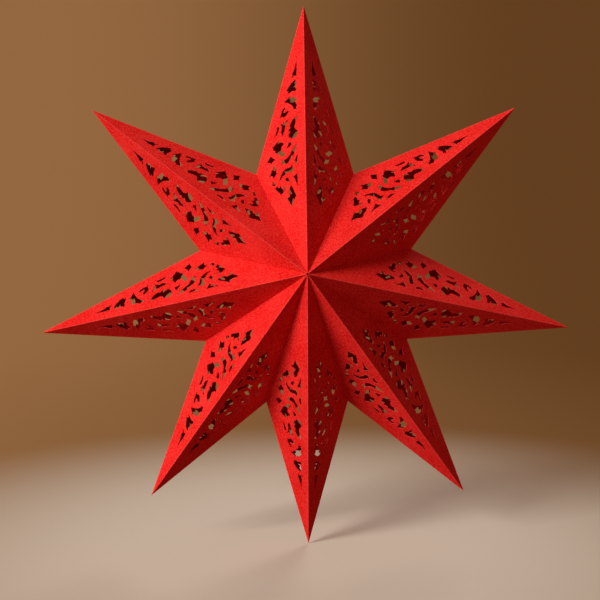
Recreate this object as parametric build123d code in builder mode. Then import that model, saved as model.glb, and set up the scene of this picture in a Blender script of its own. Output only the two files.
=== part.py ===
from build123d import *
from math import cos, radians, sin
import os

os.makedirs("parts", exist_ok=True)

# Driving dimensions, in millimetres and degrees. The star stands upright in the XZ plane, its centre
# at the origin: +Z runs through the top tip, and the viewer looks along +Y with +X to the right.
tip_radius = 300.0
star_depth = 200.0
card_thickness = 0.5
apex_hole_radius = 1.3
cut_overrun = 4.0

# Each notch between two points lies on the star's rim, at mid-angle, this far from the centre.
top_notch_radius = 124.0
upper_notch_radius = 121.0
side_notch_radius = 134.0
lower_notch_radius = 149.0

# The points hang closer together towards the bottom. The last spacing closes the half turn.
half_turn = 180.0
top_spacing = 52.0
upper_spacing = 50.0
side_spacing = 42.5
lower_spacing = half_turn - top_spacing - upper_spacing - side_spacing

# The cut ornament runs along each ridge, from a share of the way to the notch's foot up to near the tip.
field_start_share = 0.62
field_end_share = 0.797

# The cut-outs of one facet. Each corner is a share of the ornament's length, from its apex end,
# and a share of the facet's breadth, from the ridge fold to the notch.
cutout_shares = {
    "spade": ((0.005, 0.272), (0.077, 0.182), (0.151, 0.29), (0.094, 0.33), (0.058, 0.398)),
    "curl": ((0.132, 0.388), (0.09, 0.478), (0.136, 0.612), (0.151, 0.555), (0.13, 0.48)),
    "ridge_bird": ((0.13, 0.15), (0.18, 0.164), (0.231, 0.14), (0.197, 0.252)),
    "cross": ((0.25, 0.20), (0.286, 0.26), (0.254, 0.41), (0.178, 0.52), (0.225, 0.385), (0.219, 0.262)),
    "stem": ((0.412, 0.165), (0.345, 0.235), (0.29, 0.37), (0.30, 0.505), (0.318, 0.38), (0.365, 0.27)),
    "big_bird": (
        (0.357, 0.388), (0.338, 0.44), (0.371, 0.604), (0.412, 0.676),
        (0.46, 0.52), (0.427, 0.418), (0.396, 0.477),
    ),
    "drop": ((0.448, 0.182), (0.496, 0.149), (0.52, 0.21), (0.598, 0.149), (0.55, 0.30), (0.478, 0.34)),
    "leaf": ((0.472, 0.455), (0.572, 0.345), (0.578, 0.416), (0.535, 0.482)),
    "boomerang": ((0.637, 0.32), (0.636, 0.425), (0.671, 0.385), (0.656, 0.46), (0.596, 0.516), (0.604, 0.41)),
    "claw": ((0.635, 0.215), (0.69, 0.165), (0.728, 0.205), (0.737, 0.30), (0.71, 0.425), (0.685, 0.28)),
    "tip_claw": ((0.756, 0.16), (0.79, 0.19), (0.848, 0.16), (0.834, 0.262), (0.78, 0.376), (0.764, 0.29)),
    "spike": ((0.872, 0.16), (0.994, 0.155), (0.908, 0.216), (0.857, 0.298)),
    "valley_bird": ((0.237, 0.558), (0.293, 0.624), (0.246, 0.686), (0.212, 0.742), (0.201, 0.638)),
    "valley_leaf": ((0.33, 0.592), (0.356, 0.70), (0.314, 0.776), (0.305, 0.69)),
}

# The right half of the star, from the top down: the points, and the notches between them.
point_sides = ("top", "upper_right", "right", "lower_right", "bottom")
notches = (
    (top_spacing, top_notch_radius),
    (upper_spacing, upper_notch_radius),
    (side_spacing, side_notch_radius),
    (lower_spacing, lower_notch_radius),
)
notches_before = notches[:1] + notches
notches_after = notches + notches[-1:]

apex = Vector(0, -star_depth / 2, 0)
quarter_turn = half_turn / 2


def rim_direction(azimuth):
    """Unit vector in the star's plane, at an angle clockwise from the top."""
    return Vector(sin(radians(azimuth)), 0, cos(radians(azimuth)))


def pierced_facet(tip_azimuth, turn, notch_radius):
    """One front facet: a pierced sheet of card, mitred at its ridge, its valley and the star's rim.

    The notch lies at an angle of turn from the tip, clockwise where turn is positive.
    """
    notch_azimuth = tip_azimuth + turn
    quarter_to_notch = quarter_turn if turn > 0 else -quarter_turn
    ridge = rim_direction(tip_azimuth) * tip_radius - apex
    valley = rim_direction(notch_azimuth) * notch_radius - apex
    outward = valley.cross(ridge) if turn > 0 else ridge.cross(valley)
    sheet_plane = Plane(origin=apex, x_dir=ridge, z_dir=outward)
    ridge_plane = Plane(origin=(0, 0, 0), z_dir=rim_direction(tip_azimuth + quarter_to_notch))
    valley_plane = Plane(origin=(0, 0, 0), z_dir=rim_direction(notch_azimuth - quarter_to_notch))

    tip = Vector(ridge.length, 0)
    notch = Vector(valley.dot(sheet_plane.x_dir), valley.dot(sheet_plane.y_dir))
    past_notch = tip + (notch - tip) * (1 + cut_overrun / ridge.length)
    foot_share = notch_radius * cos(radians(turn)) / tip_radius
    breadth = notch - tip * foot_share
    field_start = tip * (foot_share * field_start_share)
    field = tip * field_end_share - field_start

    with BuildPart() as facet:
        with BuildSketch(sheet_plane):
            with BuildLine():
                Polyline((-cut_overrun, 0), tip, past_notch, close=True)
            make_face()
        extrude(amount=-card_thickness)
        for fold_plane in (ridge_plane, valley_plane, Plane.XZ):
            split(bisect_by=fold_plane, keep=Keep.TOP)
        with BuildSketch(Plane.XZ):
            Circle(apex_hole_radius)
        extrude(amount=star_depth, mode=Mode.SUBTRACT)
        with BuildSketch(sheet_plane):
            for corner_shares in cutout_shares.values():
                Polygon(*[field_start + field * s + breadth * c for s, c in corner_shares], align=None)
        extrude(amount=-card_thickness, mode=Mode.SUBTRACT)
    return facet.part


# Each point of the star is one folded sheet: two front facets, and two back facets that mirror them.
tip_azimuth = 0
for side, (turn_before, radius_before), (turn_after, radius_after) in zip(
    point_sides, notches_before, notches_after
):
    facet_before = pierced_facet(tip_azimuth, -turn_before / 2, radius_before)
    facet_after = pierced_facet(tip_azimuth, turn_after / 2, radius_after)
    with BuildPart() as point:
        add(facet_before)
        add(facet_after)
        mirror(about=Plane.XZ)
    point.part.label = f"{side}_point"
    export_step(point.part, f"parts/{side}_point.step")
    tip_azimuth += turn_after

    # The points on the left are those on the right, mirrored.
    if "right" in side:
        left_side = side.replace("right", "left")
        with BuildPart() as left_point:
            mirror(point.part, about=Plane.YZ)
        left_point.part.label = f"{left_side}_point"
        export_step(left_point.part, f"parts/{left_side}_point.step")
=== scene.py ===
"""A hollow paper star: eight folded, pierced points of red card, in a round studio cove."""

import logging
from dataclasses import dataclass, field
from enum import Enum
from math import cos, pi, radians, sin

import bmesh
import bpy
from mathutils import Matrix, Vector


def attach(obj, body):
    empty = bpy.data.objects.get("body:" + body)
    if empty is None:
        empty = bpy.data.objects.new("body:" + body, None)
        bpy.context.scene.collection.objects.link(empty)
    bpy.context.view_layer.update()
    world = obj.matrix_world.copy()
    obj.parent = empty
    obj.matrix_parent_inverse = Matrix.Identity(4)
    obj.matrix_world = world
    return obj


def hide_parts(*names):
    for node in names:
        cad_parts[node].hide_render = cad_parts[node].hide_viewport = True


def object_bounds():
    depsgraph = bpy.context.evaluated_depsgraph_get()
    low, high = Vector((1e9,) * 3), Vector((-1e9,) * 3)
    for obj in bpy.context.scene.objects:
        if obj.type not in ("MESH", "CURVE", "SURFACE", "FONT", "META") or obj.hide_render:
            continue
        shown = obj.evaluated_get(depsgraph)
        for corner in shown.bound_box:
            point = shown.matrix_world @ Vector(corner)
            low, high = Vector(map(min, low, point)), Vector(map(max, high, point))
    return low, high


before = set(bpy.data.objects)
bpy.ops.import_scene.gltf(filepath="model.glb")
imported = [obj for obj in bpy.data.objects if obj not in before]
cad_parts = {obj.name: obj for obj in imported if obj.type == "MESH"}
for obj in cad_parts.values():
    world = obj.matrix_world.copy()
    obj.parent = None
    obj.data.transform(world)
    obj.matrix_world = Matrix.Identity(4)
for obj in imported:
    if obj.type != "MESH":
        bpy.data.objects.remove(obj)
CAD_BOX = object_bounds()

log = logging.getLogger("paper_star")

Colour = tuple[float, float, float]
Span = tuple[float, float]
SocketValue = bpy.types.NodeSocket | float | tuple[float, ...]

# Corners that lie nearer than this are one: on a flat facet, along the folds, and in the cove.
FACET_MERGE = 1e-7
FOLD_MERGE = 1e-6
COVE_MERGE = 1e-5

# The UV map that holds each spot's distance from the rim fold and from the ridge fold.
FOLD_MAP = "fold_distance"

# The sockets of a colour mix, by number, because the node has other sockets of the same names.
MIX_FACTOR = 0
MIX_FIRST = 6
MIX_SECOND = 7
MIX_RESULT = 2


class Side(Enum):
    """The two sides of the hollow star, by the sign of the apex on the Y axis."""

    FRONT = -1.0
    BACK = 1.0


class Bend(Enum):
    """How a cut turns at a corner of its outline, as the handle type of a curve."""

    POINT = "VECTOR"
    ROUND = "AUTO"


class Ease(Enum):
    """How a ramp goes from its start to its end."""

    STRAIGHT = "LINEAR"
    SOFT = "SMOOTHSTEP"


class CardSlot(Enum):
    """Where each finish of a point stands in its list of materials, as its thickness counts them."""

    OUTSIDE = 0
    CUT_EDGE = 1
    INSIDE = 2


# Short names for the table of cuts.
P = Bend.POINT
R = Bend.ROUND


@dataclass(frozen=True)
class CutOut:
    """One hole of the ornament.

    Each corner is a share of the ornament's length from its apex end, a share of the facet's breadth from
    the ridge fold to the notch, and the way the cut turns there.
    """

    name: str
    corners: tuple[tuple[float, float, Bend], ...]


@dataclass(frozen=True)
class Ornament:
    """The scroll ornament that is cut through every facet.

    Attributes:
        start_share: Where it starts, as a share of the ridge from the apex to the foot of the notch.
        end_share: Where it ends, as a share of the whole ridge.
        open_share: How wide each cut opens about its own middle, as a share of its drawn outline.
        back_shift: How far the back's cuts lie from the front's mirror image, as shares of the ornament's
            length and of the facet's breadth. It lets the back's card show behind the front's cuts.
        curve_steps: How many steps a curve has from one corner to the next.
        cut_outs: The cuts.
    """

    start_share: float = 0.62
    end_share: float = 0.797
    open_share: float = 0.93
    back_shift: tuple[float, float] = (-0.02, -0.04)
    curve_steps: int = 5
    cut_outs: tuple[CutOut, ...] = (
        CutOut("spade", (
            (0.004, 0.270, P), (0.040, 0.236, R), (0.077, 0.180, P), (0.102, 0.218, R), (0.130, 0.248, R),
            (0.152, 0.290, P), (0.128, 0.318, R), (0.096, 0.336, P), (0.080, 0.312, R), (0.057, 0.398, P),
            (0.045, 0.340, R), (0.022, 0.304, R),
        )),
        CutOut("curl", (
            (0.130, 0.388, P), (0.107, 0.428, R), (0.089, 0.478, R), (0.104, 0.522, R), (0.110, 0.558, R),
            (0.136, 0.612, P), (0.150, 0.566, R), (0.137, 0.527, R), (0.153, 0.492, P), (0.133, 0.470, R),
            (0.128, 0.442, R), (0.150, 0.415, P),
        )),
        CutOut("ridge_bird", (
            (0.130, 0.148, P), (0.160, 0.160, R), (0.188, 0.156, R), (0.232, 0.138, P), (0.216, 0.170, R),
            (0.210, 0.205, R), (0.198, 0.250, P), (0.184, 0.218, R), (0.164, 0.192, R), (0.148, 0.176, R),
        )),
        CutOut("ridge_leaf", (
            (0.262, 0.145, P), (0.288, 0.158, R), (0.312, 0.160, R), (0.346, 0.145, P), (0.325, 0.190, R),
            (0.305, 0.206, R), (0.290, 0.200, R), (0.276, 0.178, R),
        )),
        CutOut("seed", (
            (0.174, 0.312, P), (0.190, 0.338, R), (0.199, 0.368, R), (0.189, 0.412, P), (0.177, 0.384, R),
            (0.166, 0.340, P),
        )),
        CutOut("cross", (
            (0.250, 0.198, P), (0.258, 0.238, R), (0.287, 0.256, P), (0.267, 0.286, R), (0.262, 0.325, R),
            (0.259, 0.368, R), (0.252, 0.415, R), (0.238, 0.455, R), (0.222, 0.484, R), (0.203, 0.508, R),
            (0.176, 0.522, P), (0.184, 0.498, R), (0.202, 0.474, R), (0.212, 0.436, R), (0.222, 0.396, R),
            (0.232, 0.345, R), (0.233, 0.294, R), (0.217, 0.260, P), (0.240, 0.240, R),
        )),
        CutOut("stem", (
            (0.419, 0.152, P), (0.388, 0.176, R), (0.350, 0.216, R), (0.330, 0.262, R), (0.303, 0.315, R),
            (0.286, 0.370, R), (0.288, 0.422, R), (0.279, 0.496, P), (0.299, 0.468, R), (0.319, 0.506, P),
            (0.315, 0.442, R), (0.324, 0.372, R), (0.341, 0.315, R), (0.368, 0.268, R), (0.395, 0.214, R),
        )),
        CutOut("stem_leaf", (
            (0.414, 0.260, P), (0.428, 0.300, R), (0.427, 0.335, P), (0.409, 0.345, R), (0.388, 0.378, P),
            (0.393, 0.336, R), (0.402, 0.300, R),
        )),
        CutOut("big_bird", (
            (0.357, 0.385, P), (0.344, 0.410, R), (0.336, 0.442, R), (0.344, 0.488, R), (0.356, 0.532, R),
            (0.366, 0.566, R), (0.368, 0.604, P), (0.388, 0.618, R), (0.392, 0.656, P), (0.402, 0.648, R),
            (0.413, 0.682, P), (0.422, 0.640, R), (0.438, 0.592, R), (0.446, 0.556, R), (0.465, 0.517, P),
            (0.446, 0.500, R), (0.438, 0.464, R), (0.427, 0.414, P), (0.415, 0.446, R), (0.406, 0.470, R),
            (0.390, 0.478, P), (0.374, 0.464, R), (0.364, 0.432, R),
        )),
        CutOut("drop", (
            (0.450, 0.180, P), (0.467, 0.158, R), (0.498, 0.147, P), (0.507, 0.186, R), (0.523, 0.209, R),
            (0.552, 0.189, R), (0.600, 0.147, P), (0.589, 0.216, R), (0.567, 0.272, R), (0.543, 0.310, P),
            (0.527, 0.300, R), (0.506, 0.340, P), (0.494, 0.324, R), (0.477, 0.342, R), (0.454, 0.306, R),
            (0.444, 0.246, R),
        )),
        CutOut("leaf", (
            (0.470, 0.452, P), (0.500, 0.418, R), (0.530, 0.400, R), (0.556, 0.372, R), (0.584, 0.326, P),
            (0.580, 0.366, R), (0.568, 0.398, R), (0.579, 0.428, P), (0.562, 0.452, R), (0.570, 0.504, P),
            (0.546, 0.474, R), (0.522, 0.470, R), (0.504, 0.490, P), (0.490, 0.468, R),
        )),
        CutOut("lower_leaf", (
            (0.480, 0.612, P), (0.489, 0.574, R), (0.510, 0.542, R), (0.541, 0.515, P), (0.552, 0.545, R),
            (0.531, 0.568, R), (0.506, 0.584, R),
        )),
        CutOut("boomerang", (
            (0.637, 0.316, P), (0.645, 0.352, R), (0.637, 0.390, R), (0.636, 0.428, R), (0.650, 0.418, R),
            (0.672, 0.380, P), (0.671, 0.424, R), (0.655, 0.460, R), (0.630, 0.482, R), (0.594, 0.520, P),
            (0.610, 0.474, R), (0.603, 0.436, R), (0.607, 0.392, R), (0.620, 0.352, R),
        )),
        CutOut("claw", (
            (0.632, 0.228, P), (0.641, 0.194, R), (0.636, 0.162, P), (0.651, 0.170, R), (0.668, 0.146, P),
            (0.680, 0.174, R), (0.694, 0.176, R), (0.712, 0.150, P), (0.720, 0.184, R), (0.732, 0.222, R),
            (0.731, 0.262, R), (0.742, 0.300, P), (0.729, 0.350, R), (0.711, 0.432, P), (0.700, 0.362, R),
            (0.688, 0.306, R), (0.673, 0.262, R), (0.655, 0.232, R),
        )),
        CutOut("tip_claw", (
            (0.753, 0.158, P), (0.765, 0.182, R), (0.777, 0.152, P), (0.789, 0.184, R), (0.806, 0.172, R),
            (0.826, 0.152, P), (0.833, 0.174, R), (0.849, 0.158, P), (0.846, 0.205, R), (0.834, 0.258, R),
            (0.816, 0.308, R), (0.780, 0.378, P), (0.776, 0.338, R), (0.760, 0.354, P), (0.763, 0.292, R),
            (0.770, 0.242, R), (0.767, 0.200, R),
        )),
        CutOut("spike", (
            (0.868, 0.154, P), (0.884, 0.164, R), (0.905, 0.152, R), (0.935, 0.156, R), (0.994, 0.153, P),
            (0.955, 0.178, R), (0.928, 0.196, R), (0.908, 0.222, R), (0.888, 0.254, P), (0.879, 0.238, R),
            (0.856, 0.298, P), (0.863, 0.244, R), (0.873, 0.198, R),
        )),
        CutOut("valley_seed", (
            (0.158, 0.594, P), (0.178, 0.612, R), (0.182, 0.642, R), (0.168, 0.674, P), (0.154, 0.640, R),
        )),
        CutOut("valley_bird", (
            (0.236, 0.556, P), (0.246, 0.584, R), (0.266, 0.564, P), (0.278, 0.594, R), (0.296, 0.628, P),
            (0.272, 0.646, R), (0.254, 0.676, R), (0.238, 0.698, R), (0.212, 0.744, P), (0.220, 0.700, R),
            (0.220, 0.668, R), (0.200, 0.642, P), (0.212, 0.612, R), (0.224, 0.588, R),
        )),
        CutOut("valley_leaf", (
            (0.330, 0.592, P), (0.338, 0.640, R), (0.358, 0.692, P), (0.342, 0.728, R), (0.316, 0.778, P),
            (0.314, 0.728, R), (0.304, 0.680, P), (0.318, 0.640, R),
        )),
    )


@dataclass(frozen=True)
class Notch:
    """The dip between two neighbouring points.

    Attributes:
        spacing: The angle between their tips, in degrees.
        radius: Its distance from the star's centre.
    """

    spacing: float
    radius: float


@dataclass(frozen=True)
class StarForm:
    """The sizes that all the points share, in metres.

    Attributes:
        tip_radius: From the star's centre to each tip.
        depth: From the front apex to the back apex.
        card_thickness: The thickness of the card.
        apex_hole_radius: The pinhole at each apex, where the points meet.
        hole_steps: How many straight steps the pinhole has along one facet.
    """

    tip_radius: float = 0.300
    depth: float = 0.200
    card_thickness: float = 0.0005
    apex_hole_radius: float = 0.0013
    hole_steps: int = 3


@dataclass
class NodeGraph:
    """Adds nodes to one material or node group and links them."""

    tree: bpy.types.NodeTree

    def add(
        self, kind: str, inputs: dict[str | int, SocketValue] | None = None, **settings: object
    ) -> bpy.types.Node:
        """Adds one node.

        Args:
            kind: The node's type name.
            inputs: A value, or another node's output, for each named or numbered input.
            **settings: The node's own properties.

        Returns:
            The new node.
        """
        node = self.tree.nodes.new(kind)
        for key, value in settings.items():
            setattr(node, key, value)
        for key, value in (inputs or {}).items():
            if isinstance(value, bpy.types.NodeSocket):
                self.tree.links.new(value, node.inputs[key])
            else:
                node.inputs[key].default_value = value
        return node

    def mix(
        self, factor: bpy.types.NodeSocket, first: bpy.types.NodeSocket | Colour, second: Colour
    ) -> bpy.types.NodeSocket:
        """Mixes two colours.

        Args:
            factor: How much of the second colour shows.
            first: A colour, or another node's colour output.
            second: The second colour.

        Returns:
            The mixed colour's socket.
        """
        node = self.add("ShaderNodeMix", {
            MIX_FACTOR: factor,
            MIX_FIRST: first if isinstance(first, bpy.types.NodeSocket) else (*first, 1.0),
            MIX_SECOND: (*second, 1.0),
        }, data_type="RGBA")
        return node.outputs[MIX_RESULT]

    def ramp(
        self, value: bpy.types.NodeSocket, span: Span, result: Span = (0.0, 1.0), ease: Ease = Ease.STRAIGHT
    ) -> bpy.types.NodeSocket:
        """Follows a value from one end of a span to the other.

        Args:
            value: The value to follow.
            span: Where the ramp starts and ends.
            result: What it gives there.
            ease: How it goes from the start to the end.

        Returns:
            The ramp's socket.
        """
        node = self.add("ShaderNodeMapRange", {
            "Value": value,
            "From Min": span[0],
            "From Max": span[1],
            "To Min": result[0],
            "To Max": result[1],
        }, interpolation_type=ease.value)
        return node.outputs[0]


@dataclass(frozen=True)
class Noise:
    """One layer of noise in the card.

    Attributes:
        scale: How fine it is.
        detail: How many finer layers it has.
        roughness: How strong those are.
    """

    scale: float
    detail: float
    roughness: float

    def value(self, graph: NodeGraph, place: bpy.types.NodeSocket) -> bpy.types.NodeSocket:
        """Adds the noise.

        Args:
            graph: The nodes that it joins.
            place: The coordinates that it reads.

        Returns:
            The noise's socket.
        """
        node = graph.add("ShaderNodeTexNoise", {
            "Vector": place, "Scale": self.scale, "Detail": self.detail, "Roughness": self.roughness,
        })
        return node.outputs[0]


@dataclass(frozen=True)
class CardGrain:
    """The shader group of the card's fibres: fine grain, soft mottling, and a height for the bump."""

    name: str = "card_grain"
    fibre: Noise = Noise(640.0, 3.0, 0.6)
    mottle: Noise = Noise(26.0, 2.0, 0.5)
    fine: Noise = Noise(1500.0, 2.0, 0.6)

    def group(self) -> bpy.types.NodeTree:
        """Makes the group at its first use.

        Returns:
            The node group.
        """
        made = bpy.data.node_groups.get(self.name)
        if made:
            return made
        made = bpy.data.node_groups.new(self.name, "ShaderNodeTree")
        made.interface.new_socket("Place", in_out="INPUT", socket_type="NodeSocketVector")
        for output in ("Grain", "Mottle", "Height"):
            made.interface.new_socket(output, in_out="OUTPUT", socket_type="NodeSocketFloat")
        graph = NodeGraph(made)
        place = graph.add("NodeGroupInput").outputs["Place"]
        fibre = self.fibre.value(graph, place)
        mottle = self.mottle.value(graph, place)
        fine = self.fine.value(graph, place)
        height = graph.add("ShaderNodeMath", {0: fibre, 1: fine}, operation="ADD")
        graph.add("NodeGroupOutput", {"Grain": fibre, "Mottle": mottle, "Height": height.outputs[0]})
        return made

    def place_in(self, graph: NodeGraph) -> bpy.types.Node:
        """Places the group in a material.

        Args:
            graph: The material's nodes.

        Returns:
            The group's node.
        """
        place = graph.add("ShaderNodeTexCoord").outputs["Object"]
        return graph.add("ShaderNodeGroup", {"Place": place}, node_tree=self.group())


@dataclass(frozen=True)
class Finish:
    """A finish, with a material of its own."""

    name: str

    def material(self) -> bpy.types.Material:
        """Makes the material at its first use.

        Returns:
            The material.
        """
        made = bpy.data.materials.get(self.name)
        if made:
            return made
        made = bpy.data.materials.new(self.name)
        made.use_nodes = True
        made.node_tree.nodes.clear()
        graph = NodeGraph(made.node_tree)
        graph.add("ShaderNodeOutputMaterial", {"Surface": self.surface(graph)})
        return made

    def surface(self, graph: NodeGraph) -> bpy.types.NodeSocket:
        """Each finish adds its own nodes here and gives its shader's socket."""
        raise NotImplementedError


@dataclass(frozen=True)
class RedCard(Finish):
    """Matte red card, dyed through, a little paler along the folds: partly worn fibres, partly a painted
    highlight of a rounded fold.

    Attributes:
        deep: The colour between the fibres.
        light: The colour of the fibres.
        tone_span: The fibre values between which the one gives way to the other.
        mottle_share: How much the soft mottling adds to the fibres.
        rubbed_and_highlight: The colour along the folds: worn fibres, and a painted highlight where a
            rounded fold would catch the light.
        rub_and_highlight_width: How far the wear and the painted highlight reach from a fold.
        rough_span: The fibre values between which the roughness rises.
        roughness: The least and the greatest roughness.
        bump_strength: How strongly the fibres stand out.
        bump_height: How far they stand out.
        specular: How much the card shines.
    """

    name: str = "red_card_face"
    deep: Colour = (0.650, 0.0030, 0.0026)
    light: Colour = (0.890, 0.0340, 0.0275)
    tone_span: Span = (0.41, 0.59)
    mottle_share: float = 0.25
    rubbed_and_highlight: Colour = (0.900, 0.0800, 0.0600)
    rub_and_highlight_width: float = 0.0017
    rough_span: Span = (0.3, 0.7)
    roughness: Span = (0.74, 0.90)
    bump_strength: float = 0.8
    bump_height: float = 0.00012
    specular: float = 0.10

    def surface(self, graph: NodeGraph) -> bpy.types.NodeSocket:
        """Adds the card's nodes.

        Args:
            graph: The material's nodes.

        Returns:
            The shader's socket.
        """
        grain = CardGrain().place_in(graph)
        tone = graph.add("ShaderNodeMath", {
            0: grain.outputs["Mottle"], 1: self.mottle_share, 2: grain.outputs["Grain"],
        }, operation="MULTIPLY_ADD")
        low, high = self.tone_span
        span = (low + low * self.mottle_share, high + high * self.mottle_share)
        colour = graph.mix(graph.ramp(tone.outputs[0], span), self.deep, self.light)
        # The paler strip along the folds is partly worn fibres, partly a painted highlight.
        wear_and_highlight_colour = graph.mix(self.wear_and_highlight_mask(graph, grain.outputs["Grain"]), colour, self.rubbed_and_highlight)
        bump = graph.add("ShaderNodeBump", {
            "Strength": self.bump_strength,
            "Distance": self.bump_height,
            "Height": grain.outputs["Height"],
        })
        shader = graph.add("ShaderNodeBsdfPrincipled", {
            "Base Color": wear_and_highlight_colour,
            "Roughness": graph.ramp(grain.outputs["Grain"], self.rough_span, self.roughness),
            "Normal": bump.outputs[0],
            "Specular IOR Level": self.specular,
        })
        return shader.outputs[0]

    def wear_and_highlight_mask(self, graph: NodeGraph, grain: bpy.types.NodeSocket) -> bpy.types.NodeSocket:
        """Marks the narrow strip along the ridge and rim folds, partly wear and partly painted highlight,
        broken up by the grain.

        Args:
            graph: The material's nodes.
            grain: The fibre value.

        Returns:
            The mask's socket.
        """
        folds = graph.add("ShaderNodeUVMap", uv_map=FOLD_MAP)
        split = graph.add("ShaderNodeSeparateXYZ", {0: folds.outputs[0]})
        near = graph.add("ShaderNodeMath", {0: split.outputs[0], 1: split.outputs[1]}, operation="MINIMUM")
        strip = graph.ramp(near.outputs[0], (0.0, self.rub_and_highlight_width), (1.0, 0.0), Ease.SOFT)
        mask = graph.add("ShaderNodeMath", {0: strip, 1: grain}, operation="MULTIPLY", use_clamp=True)
        return mask.outputs[0]


@dataclass(frozen=True)
class CutEdge(Finish):
    """The cut edge of the card, where the fibres are open and a little paler.

    Attributes:
        deep: The colour between the fibres.
        light: The colour of the fibres.
        roughness: The roughness of the edge.
        bump_strength: How strongly the fibres stand out.
        bump_height: How far they stand out.
        specular: How much the edge shines.
    """

    name: str = "red_card_cut_edge"
    deep: Colour = (0.760, 0.0300, 0.0280)
    light: Colour = (0.880, 0.0700, 0.0600)
    roughness: float = 0.9
    bump_strength: float = 0.6
    bump_height: float = 0.00008
    specular: float = 0.3

    def surface(self, graph: NodeGraph) -> bpy.types.NodeSocket:
        """Adds the edge's nodes.

        Args:
            graph: The material's nodes.

        Returns:
            The shader's socket.
        """
        grain = CardGrain().place_in(graph)
        bump = graph.add("ShaderNodeBump", {
            "Strength": self.bump_strength,
            "Distance": self.bump_height,
            "Height": grain.outputs["Height"],
        })
        shader = graph.add("ShaderNodeBsdfPrincipled", {
            "Base Color": graph.mix(grain.outputs["Grain"], self.deep, self.light),
            "Roughness": self.roughness,
            "Normal": bump.outputs[0],
            "Specular IOR Level": self.specular,
        })
        return shader.outputs[0]


@dataclass(frozen=True)
class CovePaint(Finish):
    """The cove's matte paint: a pale floor under the star, and a glowing backdrop with painted light that
    dims away from the key lamp's side; the lamp-lit floor fades into it round the star in a painted pool of
    light.

    Attributes:
        floor_tone: The painted floor, which takes the star's shadow.
        painted_lit_tone: The backdrop's glow on the key lamp's side, painted light.
        painted_dim_tone: Its glow on the other side, painted shade.
        painted_falloff_span: The places along X between which the painted light dims.
        reach: The distances from the star between which the floor gives way to the backdrop, the edge of a
            painted pool of light.
        roughness: The roughness of the floor.
        specular: How much the floor shines.
    """

    name: str = "cove_paint"
    floor_tone: Colour = (0.61, 0.55, 0.455)
    painted_lit_tone: Colour = (0.295, 0.138, 0.052)
    painted_dim_tone: Colour = (0.122, 0.049, 0.014)
    painted_falloff_span: Span = (-1.2, 1.2)
    reach: Span = (0.15, 0.75)
    roughness: float = 0.9
    specular: float = 0.1

    def surface(self, graph: NodeGraph) -> bpy.types.NodeSocket:
        """Adds the paint's nodes.

        Args:
            graph: The material's nodes.

        Returns:
            The shader's socket.
        """
        place = graph.add("ShaderNodeTexCoord").outputs["Object"]
        axes = graph.add("ShaderNodeSeparateXYZ", {0: place})
        flat = graph.add("ShaderNodeCombineXYZ", {0: axes.outputs[0], 1: axes.outputs[1]})
        far = graph.add("ShaderNodeVectorMath", {0: flat.outputs[0]}, operation="LENGTH")
        painted_falloff = graph.ramp(axes.outputs[0], self.painted_falloff_span, ease=Ease.SOFT)
        away = graph.ramp(far.outputs["Value"], self.reach, ease=Ease.SOFT)
        floor = graph.add("ShaderNodeBsdfPrincipled", {
            "Base Color": (*self.floor_tone, 1.0),
            "Roughness": self.roughness,
            "Specular IOR Level": self.specular,
        })
        # The backdrop glows: painted light, dimmer away from the key lamp's side.
        backdrop = graph.add("ShaderNodeEmission", {
            "Color": graph.mix(painted_falloff, self.painted_lit_tone, self.painted_dim_tone), "Strength": 1.0,
        })
        # Beyond the reach the lit floor gives way to the glow, the edge of a painted pool of light.
        both = graph.add("ShaderNodeMixShader", {0: away, 1: floor.outputs[0], 2: backdrop.outputs[0]})
        return both.outputs[0]


def rim_direction(azimuth: float) -> Vector:
    """Unit vector in the star's plane, at an angle clockwise from the top, in degrees."""
    return Vector((sin(radians(azimuth)), 0.0, cos(radians(azimuth))))


def put_in_scene(thing: bpy.types.Object) -> None:
    """Links an object into the scene."""
    bpy.context.scene.collection.objects.link(thing)


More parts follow.
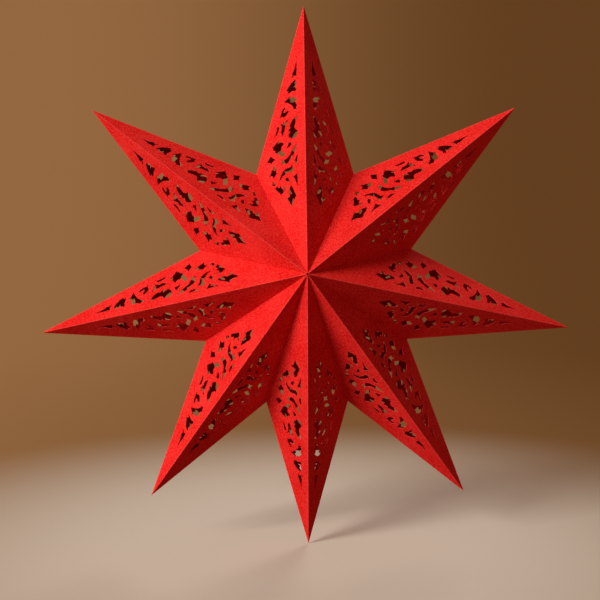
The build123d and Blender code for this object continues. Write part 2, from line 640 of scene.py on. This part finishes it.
@dataclass
class Facet:
    """One flat face of a point, between its ridge fold, its glued valley and its rim fold.

    Attributes:
        form: The sizes that all the points share.
        ornament: The cut-outs.
        side: Front or back of the star.
        tip_azimuth: Where the point's tip is, clockwise from the top.
        turn: The angle from the tip to the notch, clockwise where it is positive.
        notch_radius: The notch's distance from the star's centre.
        ridge: The edge from the apex to the tip.
        valley: The edge from the apex to the notch.
        place: The facet's plane, with the apex at its origin and the ridge along its X axis.
        tip: The tip in that plane.
        notch: The notch in that plane.
    """

    form: StarForm
    ornament: Ornament
    side: Side
    tip_azimuth: float
    turn: float
    notch_radius: float
    ridge: Vector = field(init=False)
    valley: Vector = field(init=False)
    place: Matrix = field(init=False)
    tip: Vector = field(init=False)
    notch: Vector = field(init=False)

    def __post_init__(self) -> None:
        """Works out the facet's two long edges from the apex, its plane, and its corners in that plane."""
        apex = Vector((0.0, self.side.value * self.form.depth / 2, 0.0))
        self.ridge = rim_direction(self.tip_azimuth) * self.form.tip_radius - apex
        self.valley = rim_direction(self.tip_azimuth + self.turn) * self.notch_radius - apex
        along = self.ridge.normalized()
        across = (self.valley - along * self.valley.dot(along)).normalized()
        axes = Matrix((along, across, along.cross(across))).transposed()
        self.place = Matrix.Translation(apex) @ axes.to_4x4()
        self.tip = Vector((self.ridge.length, 0.0))
        self.notch = Vector((self.valley.dot(along), self.valley.dot(across)))

    def outline(self) -> list[Vector]:
        """Goes round the sheet: the part of the apex hole it borders, then the tip and the notch.

        Returns:
            The corners in the facet's plane.
        """
        hole = []
        for step in range(self.form.hole_steps + 1):
            share = step / self.form.hole_steps
            edge = self.ridge.lerp(self.valley, share)
            reach = self.form.apex_hole_radius / Vector((edge.x, edge.z)).length
            hole.append(self.tip.lerp(self.notch, share) * reach)
        return [hole[0], self.tip, self.notch, *reversed(hole[1:])]

    def cut_corners(self, cut_out: CutOut) -> list[Vector]:
        """Lays one cut-out on the facet.

        Args:
            cut_out: The hole, in shares.

        Returns:
            Its corners in the facet's plane.
        """
        foot_share = self.notch_radius * cos(radians(self.turn)) / self.form.tip_radius
        breadth = self.notch - self.tip * foot_share
        start = foot_share * self.ornament.start_share
        length = self.ornament.end_share - start
        onwards, outwards = self.ornament.back_shift if self.side is Side.BACK else (0.0, 0.0)
        drawn = []
        for along, across, _ in cut_out.corners:
            drawn.append(self.tip * (start + length * (along + onwards)) + breadth * (across + outwards))
        middle = sum(drawn, Vector((0.0, 0.0))) / len(drawn)
        return [middle.lerp(corner, self.ornament.open_share) for corner in drawn]

    def flat_curve(self) -> bpy.types.Curve:
        """Draws the sheet as a flat filled curve, with a closed spline for each cut-out.

        Returns:
            The curve data.
        """
        curve = bpy.data.curves.new("flat_sheet", "CURVE")
        curve.dimensions = "2D"
        curve.fill_mode = "FRONT"
        curve.resolution_u = self.ornament.curve_steps
        corners = self.outline()
        edge = curve.splines.new("POLY")
        edge.points.add(len(corners) - 1)
        for point, corner in zip(edge.points, corners):
            point.co = (corner.x, corner.y, 0.0, 1.0)
        edge.use_cyclic_u = True
        for cut_out in self.ornament.cut_outs:
            hole = curve.splines.new("BEZIER")
            hole.bezier_points.add(len(cut_out.corners) - 1)
            hole.use_cyclic_u = True
            for knot, corner in zip(hole.bezier_points, self.cut_corners(cut_out)):
                knot.co = (corner.x, corner.y, 0.0)
            for knot, (_, _, bend) in zip(hole.bezier_points, cut_out.corners):
                knot.handle_left_type = bend.value
                knot.handle_right_type = bend.value
        return curve

    def flat_mesh(self) -> bpy.types.Mesh:
        """Cuts the sheet out flat.

        Returns:
            Its mesh, in the facet's plane.
        """
        curve = self.flat_curve()
        holder = bpy.data.objects.new("flat_sheet", curve)
        put_in_scene(holder)
        evaluated = holder.evaluated_get(bpy.context.evaluated_depsgraph_get())
        flat = bpy.data.meshes.new_from_object(evaluated)
        bpy.data.objects.remove(holder)
        bpy.data.curves.remove(curve)
        return flat

    def mark_folds(self, cut: bmesh.types.BMesh) -> None:
        """Notes how far each spot is from the rim fold and from the ridge fold.

        Args:
            cut: The flat sheet.
        """
        folds = cut.loops.layers.uv.new(FOLD_MAP)
        rim = (self.notch - self.tip).normalized()
        inward = Vector((rim.y, -rim.x))
        if inward.dot(self.tip) > 0:
            inward.negate()
        for face in cut.faces:
            for loop in face.loops:
                spot = loop.vert.co.xy
                loop[folds].uv = ((spot - self.tip).dot(inward), spot.y)

    def add_to(self, sheet: bmesh.types.BMesh) -> None:
        """Folds the facet into place, with its outer face outwards.

        Args:
            sheet: The point's card, which gets the facet's faces.
        """
        flat = self.flat_mesh()
        cut = bmesh.new()
        cut.from_mesh(flat)
        bmesh.ops.remove_doubles(cut, verts=cut.verts, dist=FACET_MERGE)
        self.mark_folds(cut)
        plane_faces_out = (self.place.to_3x3() @ Vector((0.0, 0.0, 1.0))).y * self.side.value > 0
        sheet_lies_up = sum(face.normal.z * face.calc_area() for face in cut.faces) > 0
        if plane_faces_out != sheet_lies_up:
            bmesh.ops.reverse_faces(cut, faces=cut.faces)
        bmesh.ops.transform(cut, matrix=self.place, verts=cut.verts)
        cut.to_mesh(flat)
        cut.free()
        sheet.from_mesh(flat)
        bpy.data.meshes.remove(flat)


@dataclass
class CardPoint:
    """One point of the star: a sheet of card with two front and two back facets.

    Attributes:
        node: The CAD node that it stands for.
        tip_azimuth: Where its tip is, clockwise from the top.
        before: The notch on its anticlockwise side.
        after: The notch on its clockwise side.
        form: The sizes that all the points share.
        ornament: The cut-outs.
    """

    node: str
    tip_azimuth: float
    before: Notch
    after: Notch
    form: StarForm
    ornament: Ornament

    def folded_sheet(self) -> bpy.types.Mesh:
        """Folds the four facets into one sheet.

        Returns:
            The sheet's mesh, which has no thickness yet.
        """
        sheet = bmesh.new()
        turns = ((-self.before.spacing / 2, self.before), (self.after.spacing / 2, self.after))
        for side in Side:
            for turn, notch in turns:
                Facet(self.form, self.ornament, side, self.tip_azimuth, turn, notch.radius).add_to(sheet)
        bmesh.ops.remove_doubles(sheet, verts=sheet.verts, dist=FOLD_MERGE)
        mesh = bpy.data.meshes.new(f"folded_{self.node}")
        sheet.to_mesh(mesh)
        sheet.free()
        return mesh

    def build(self) -> bpy.types.Object:
        """Makes the folded sheet a piece and gives the card its thickness, inwards.

        Returns:
            The finished piece, which rides on the star and stands for its CAD node.
        """
        piece = bpy.data.objects.new(f"folded_{self.node}", self.folded_sheet())
        put_in_scene(piece)
        card = piece.modifiers.new("card_thickness", "SOLIDIFY")
        card.thickness = self.form.card_thickness
        card.offset = -1.0
        card.use_even_offset = True
        card.material_offset_rim = CardSlot.CUT_EDGE.value
        card.material_offset = CardSlot.INSIDE.value
        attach(piece, "root")
        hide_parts(self.node)
        return piece

    def dress(self, piece: bpy.types.Object, finishes: dict[CardSlot, Finish]) -> None:
        """Puts a finish on the outer faces, the cut edges and the inner faces.

        Args:
            piece: The folded point.
            finishes: The finish of each.
        """
        for slot in CardSlot:
            piece.data.materials.append(finishes[slot].material())


@dataclass
class PaperStar:
    """The whole star, from the top point round clockwise.

    Attributes:
        form: The sizes that all the points share.
        ornament: The cut-outs.
        right_half: The points from the top down the right, each with the notch after it.
        last_point: The point that closes both halves.
    """

    form: StarForm = StarForm()
    ornament: Ornament = Ornament()
    right_half: tuple[tuple[str, Notch], ...] = (
        ("top_point", Notch(52.0, 0.124)),
        ("upper_right_point", Notch(50.0, 0.121)),
        ("right_point", Notch(42.5, 0.134)),
        ("lower_right_point", Notch(35.5, 0.149)),
    )
    last_point: str = "bottom_point"

    def points(self) -> list[CardPoint]:
        """Lists the eight points, the left half as the right half's mirror image.

        Returns:
            The points, clockwise from the top.
        """
        falling = [name for name, _ in self.right_half]
        rising = [name.replace("right", "left") for name in reversed(falling[1:])]
        right_notches = [notch for _, notch in self.right_half]
        after = [*right_notches, *reversed(right_notches)]
        made = []
        azimuth = 0.0
        for place, name in enumerate([*falling, self.last_point, *rising]):
            made.append(CardPoint(name, azimuth, after[place - 1], after[place], self.form, self.ornament))
            azimuth += after[place].spacing
        return made

    def build(self, finishes: dict[CardSlot, Finish]) -> None:
        """Builds and dresses every point.

        Args:
            finishes: The finish of the outer faces, the cut edges and the inner faces.
        """
        for point in self.points():
            piece = point.build()
            point.dress(piece, finishes)
            log.info("%s: %d faces before its thickness", piece.name, len(piece.data.polygons))


@dataclass(frozen=True)
class SoftLamp:
    """One soft square lamp, aimed at the star's centre.

    Attributes:
        name: What it does.
        azimuth: Its bearing from the viewer's axis, to the viewer's right where positive, in degrees.
        elevation: Its height above the star's centre, in degrees.
        distance: Its distance from the star's centre.
        size: Its side.
        power: Its power in watts.
        tint: Its colour.
    """

    name: str
    azimuth: float
    elevation: float
    distance: float
    size: float
    power: float
    tint: Colour = (1.0, 0.97, 0.93)

    def build(self) -> None:
        """Hangs the lamp in its place, out of the camera's sight."""
        lamp = bpy.data.lights.new(self.name, "AREA")
        lamp.shape = "SQUARE"
        lamp.size = self.size
        lamp.energy = self.power
        lamp.color = self.tint
        holder = bpy.data.objects.new(self.name, lamp)
        turn = radians(self.azimuth)
        rise = radians(self.elevation)
        away = Vector((sin(turn) * cos(rise), -cos(turn) * cos(rise), sin(rise)))
        holder.location = away * self.distance
        holder.rotation_euler = away.to_track_quat("Z", "Y").to_euler()
        holder.visible_camera = False
        put_in_scene(holder)
        log.info("%s: %.0f W", self.name, self.power)


@dataclass
class Studio:
    """The round cove that the star stands in, its lamps and its camera.

    Attributes:
        floor_radius: How far the flat floor reaches.
        cove_radius: The radius of the curve between the floor and the cove's side.
        cove_steps: How many steps that curve has.
        side_height: How far the side rises above the curve.
        spin_steps: How many steps the cove has all round.
        lamps: The lamps.
        sky_tint: The colour of the even light from all round.
        sky_strength: How strong it is.
        image_side: The side of the picture, in pixels.
        focal_pixels: The camera's focal length, in pixels.
        sensor: The width of its sensor, in millimetres.
        eye_distance: Its distance from the star's centre.
        eye_azimuth: How far its gaze turns to the right, in degrees.
        eye_elevation: How high it stands above the star's centre, in degrees.
        eye_roll: How far it is rolled, in degrees.
        centre_pixel: Where the star's centre is in the picture, from the top left.
    """

    floor_radius: float = 2.2
    cove_radius: float = 1.0
    cove_steps: int = 16
    side_height: float = 2.6
    spin_steps: int = 64
    lamps: tuple[SoftLamp, ...] = (
        SoftLamp("key_lamp", -50.0, 24.0, 5.0, 1.9, 280.0),
        SoftLamp("back_lamp", 155.0, 25.0, 3.0, 1.6, 44.0),
    )
    sky_tint: Colour = (1.0, 0.48, 0.31)
    sky_strength: float = 0.19
    image_side: float = 600.0
    focal_pixels: float = 807.0
    sensor: float = 36.0
    eye_distance: float = 0.90
    eye_azimuth: float = 0.9
    eye_elevation: float = -0.06
    eye_roll: float = -0.53
    centre_pixel: tuple[float, float] = (306.0, 274.2)

    def cove_mesh(self, floor_height: float) -> bpy.types.Mesh:
        """Spins the floor and its curved side round the star.

        Args:
            floor_height: Where the floor lies.

        Returns:
            The cove's mesh.
        """
        mesh = bmesh.new()
        centre = mesh.verts.new((0.0, 0.0, floor_height))
        reach = mesh.verts.new((self.floor_radius, 0.0, floor_height))
        mesh.edges.new((centre, reach))
        swept = bmesh.ops.spin(
            mesh, geom=[reach], cent=(self.floor_radius, 0.0, floor_height + self.cove_radius),
            axis=(0.0, -1.0, 0.0), angle=pi / 2, steps=self.cove_steps,
        )
        last = [part for part in swept["geom_last"] if isinstance(part, bmesh.types.BMVert)]
        raised = bmesh.ops.extrude_vert_indiv(mesh, verts=last)
        bmesh.ops.translate(mesh, vec=(0.0, 0.0, self.side_height), verts=raised["verts"])
        bmesh.ops.spin(
            mesh, geom=list(mesh.verts) + list(mesh.edges), cent=(0.0, 0.0, 0.0), axis=(0.0, 0.0, 1.0),
            angle=2 * pi, steps=self.spin_steps, use_merge=True,
        )
        bmesh.ops.remove_doubles(mesh, verts=mesh.verts, dist=COVE_MERGE)
        bmesh.ops.recalc_face_normals(mesh, faces=mesh.faces)
        for face in mesh.faces:
            face.smooth = True
        data = bpy.data.meshes.new("round_cove")
        mesh.to_mesh(data)
        mesh.free()
        return data

    def build_cove(self, floor_height: float) -> None:
        """Sets up the painted cove, which shows but neither lights nor shades the star.

        Args:
            floor_height: Where the floor lies.
        """
        data = self.cove_mesh(floor_height)
        cove = bpy.data.objects.new("round_cove", data)
        cove.data.materials.append(CovePaint().material())
        put_in_scene(cove)
        cove.visible_diffuse = False
        cove.visible_glossy = False
        cove.visible_shadow = False
        log.info("round_cove: %d faces", len(data.polygons))

    def build_sky(self) -> None:
        """Gives the studio an even light from all round."""
        sky = bpy.data.worlds.new("studio_sky")
        sky.use_nodes = True
        light = sky.node_tree.nodes["Background"]
        light.inputs["Color"].default_value = (*self.sky_tint, 1.0)
        light.inputs["Strength"].default_value = self.sky_strength
        bpy.context.scene.world = sky

    def build_camera(self) -> None:
        """Sets the camera at the photograph's angle and shifts the frame to its place."""
        lens = bpy.data.cameras.new("studio_camera")
        lens.sensor_width = self.sensor
        lens.lens = self.sensor * self.focal_pixels / self.image_side
        lens.shift_x = (0.5 * self.image_side - self.centre_pixel[0]) / self.image_side
        lens.shift_y = (self.centre_pixel[1] - 0.5 * self.image_side) / self.image_side
        turn = radians(self.eye_azimuth)
        rise = radians(self.eye_elevation)
        gaze = Vector((sin(turn) * cos(rise), cos(turn) * cos(rise), -sin(rise)))
        level = gaze.to_track_quat("-Z", "Y").to_matrix()
        roll = Matrix.Rotation(radians(self.eye_roll), 3, "Z")
        eye = bpy.data.objects.new("studio_camera", lens)
        eye.location = gaze * -self.eye_distance
        eye.rotation_euler = (level @ roll).to_euler()
        put_in_scene(eye)
        bpy.context.scene.camera = eye

    def build(self, floor_height: float) -> None:
        """Builds the cove, the light and the camera.

        Args:
            floor_height: Where the floor lies, which is the star's lowest point.
        """
        self.build_cove(floor_height)
        for lamp in self.lamps:
            lamp.build()
        self.build_sky()
        self.build_camera()
        bpy.context.scene.view_settings.view_transform = "Standard"


def main() -> None:
    """Builds the star, then the studio round it."""
    logging.basicConfig(level=logging.INFO, format="%(message)s")
    # The inner faces take a darker copy of the card, painted shade inside the hollow star, with no paler
    # strip along the folds.
    inside_painted_shade_fibre = (0.540, 0.0108, 0.0087)
    finishes = {
        CardSlot.OUTSIDE: RedCard(),
        CardSlot.CUT_EDGE: CutEdge(),
        CardSlot.INSIDE: RedCard(
            name="red_card_inside_painted_shade", deep=(0.400, 0.0013, 0.0012), light=inside_painted_shade_fibre, rubbed_and_highlight=inside_painted_shade_fibre
        ),
    }
    PaperStar().build(finishes)
    Studio().build(CAD_BOX[0].z)


if __name__ == "__main__":
    main()
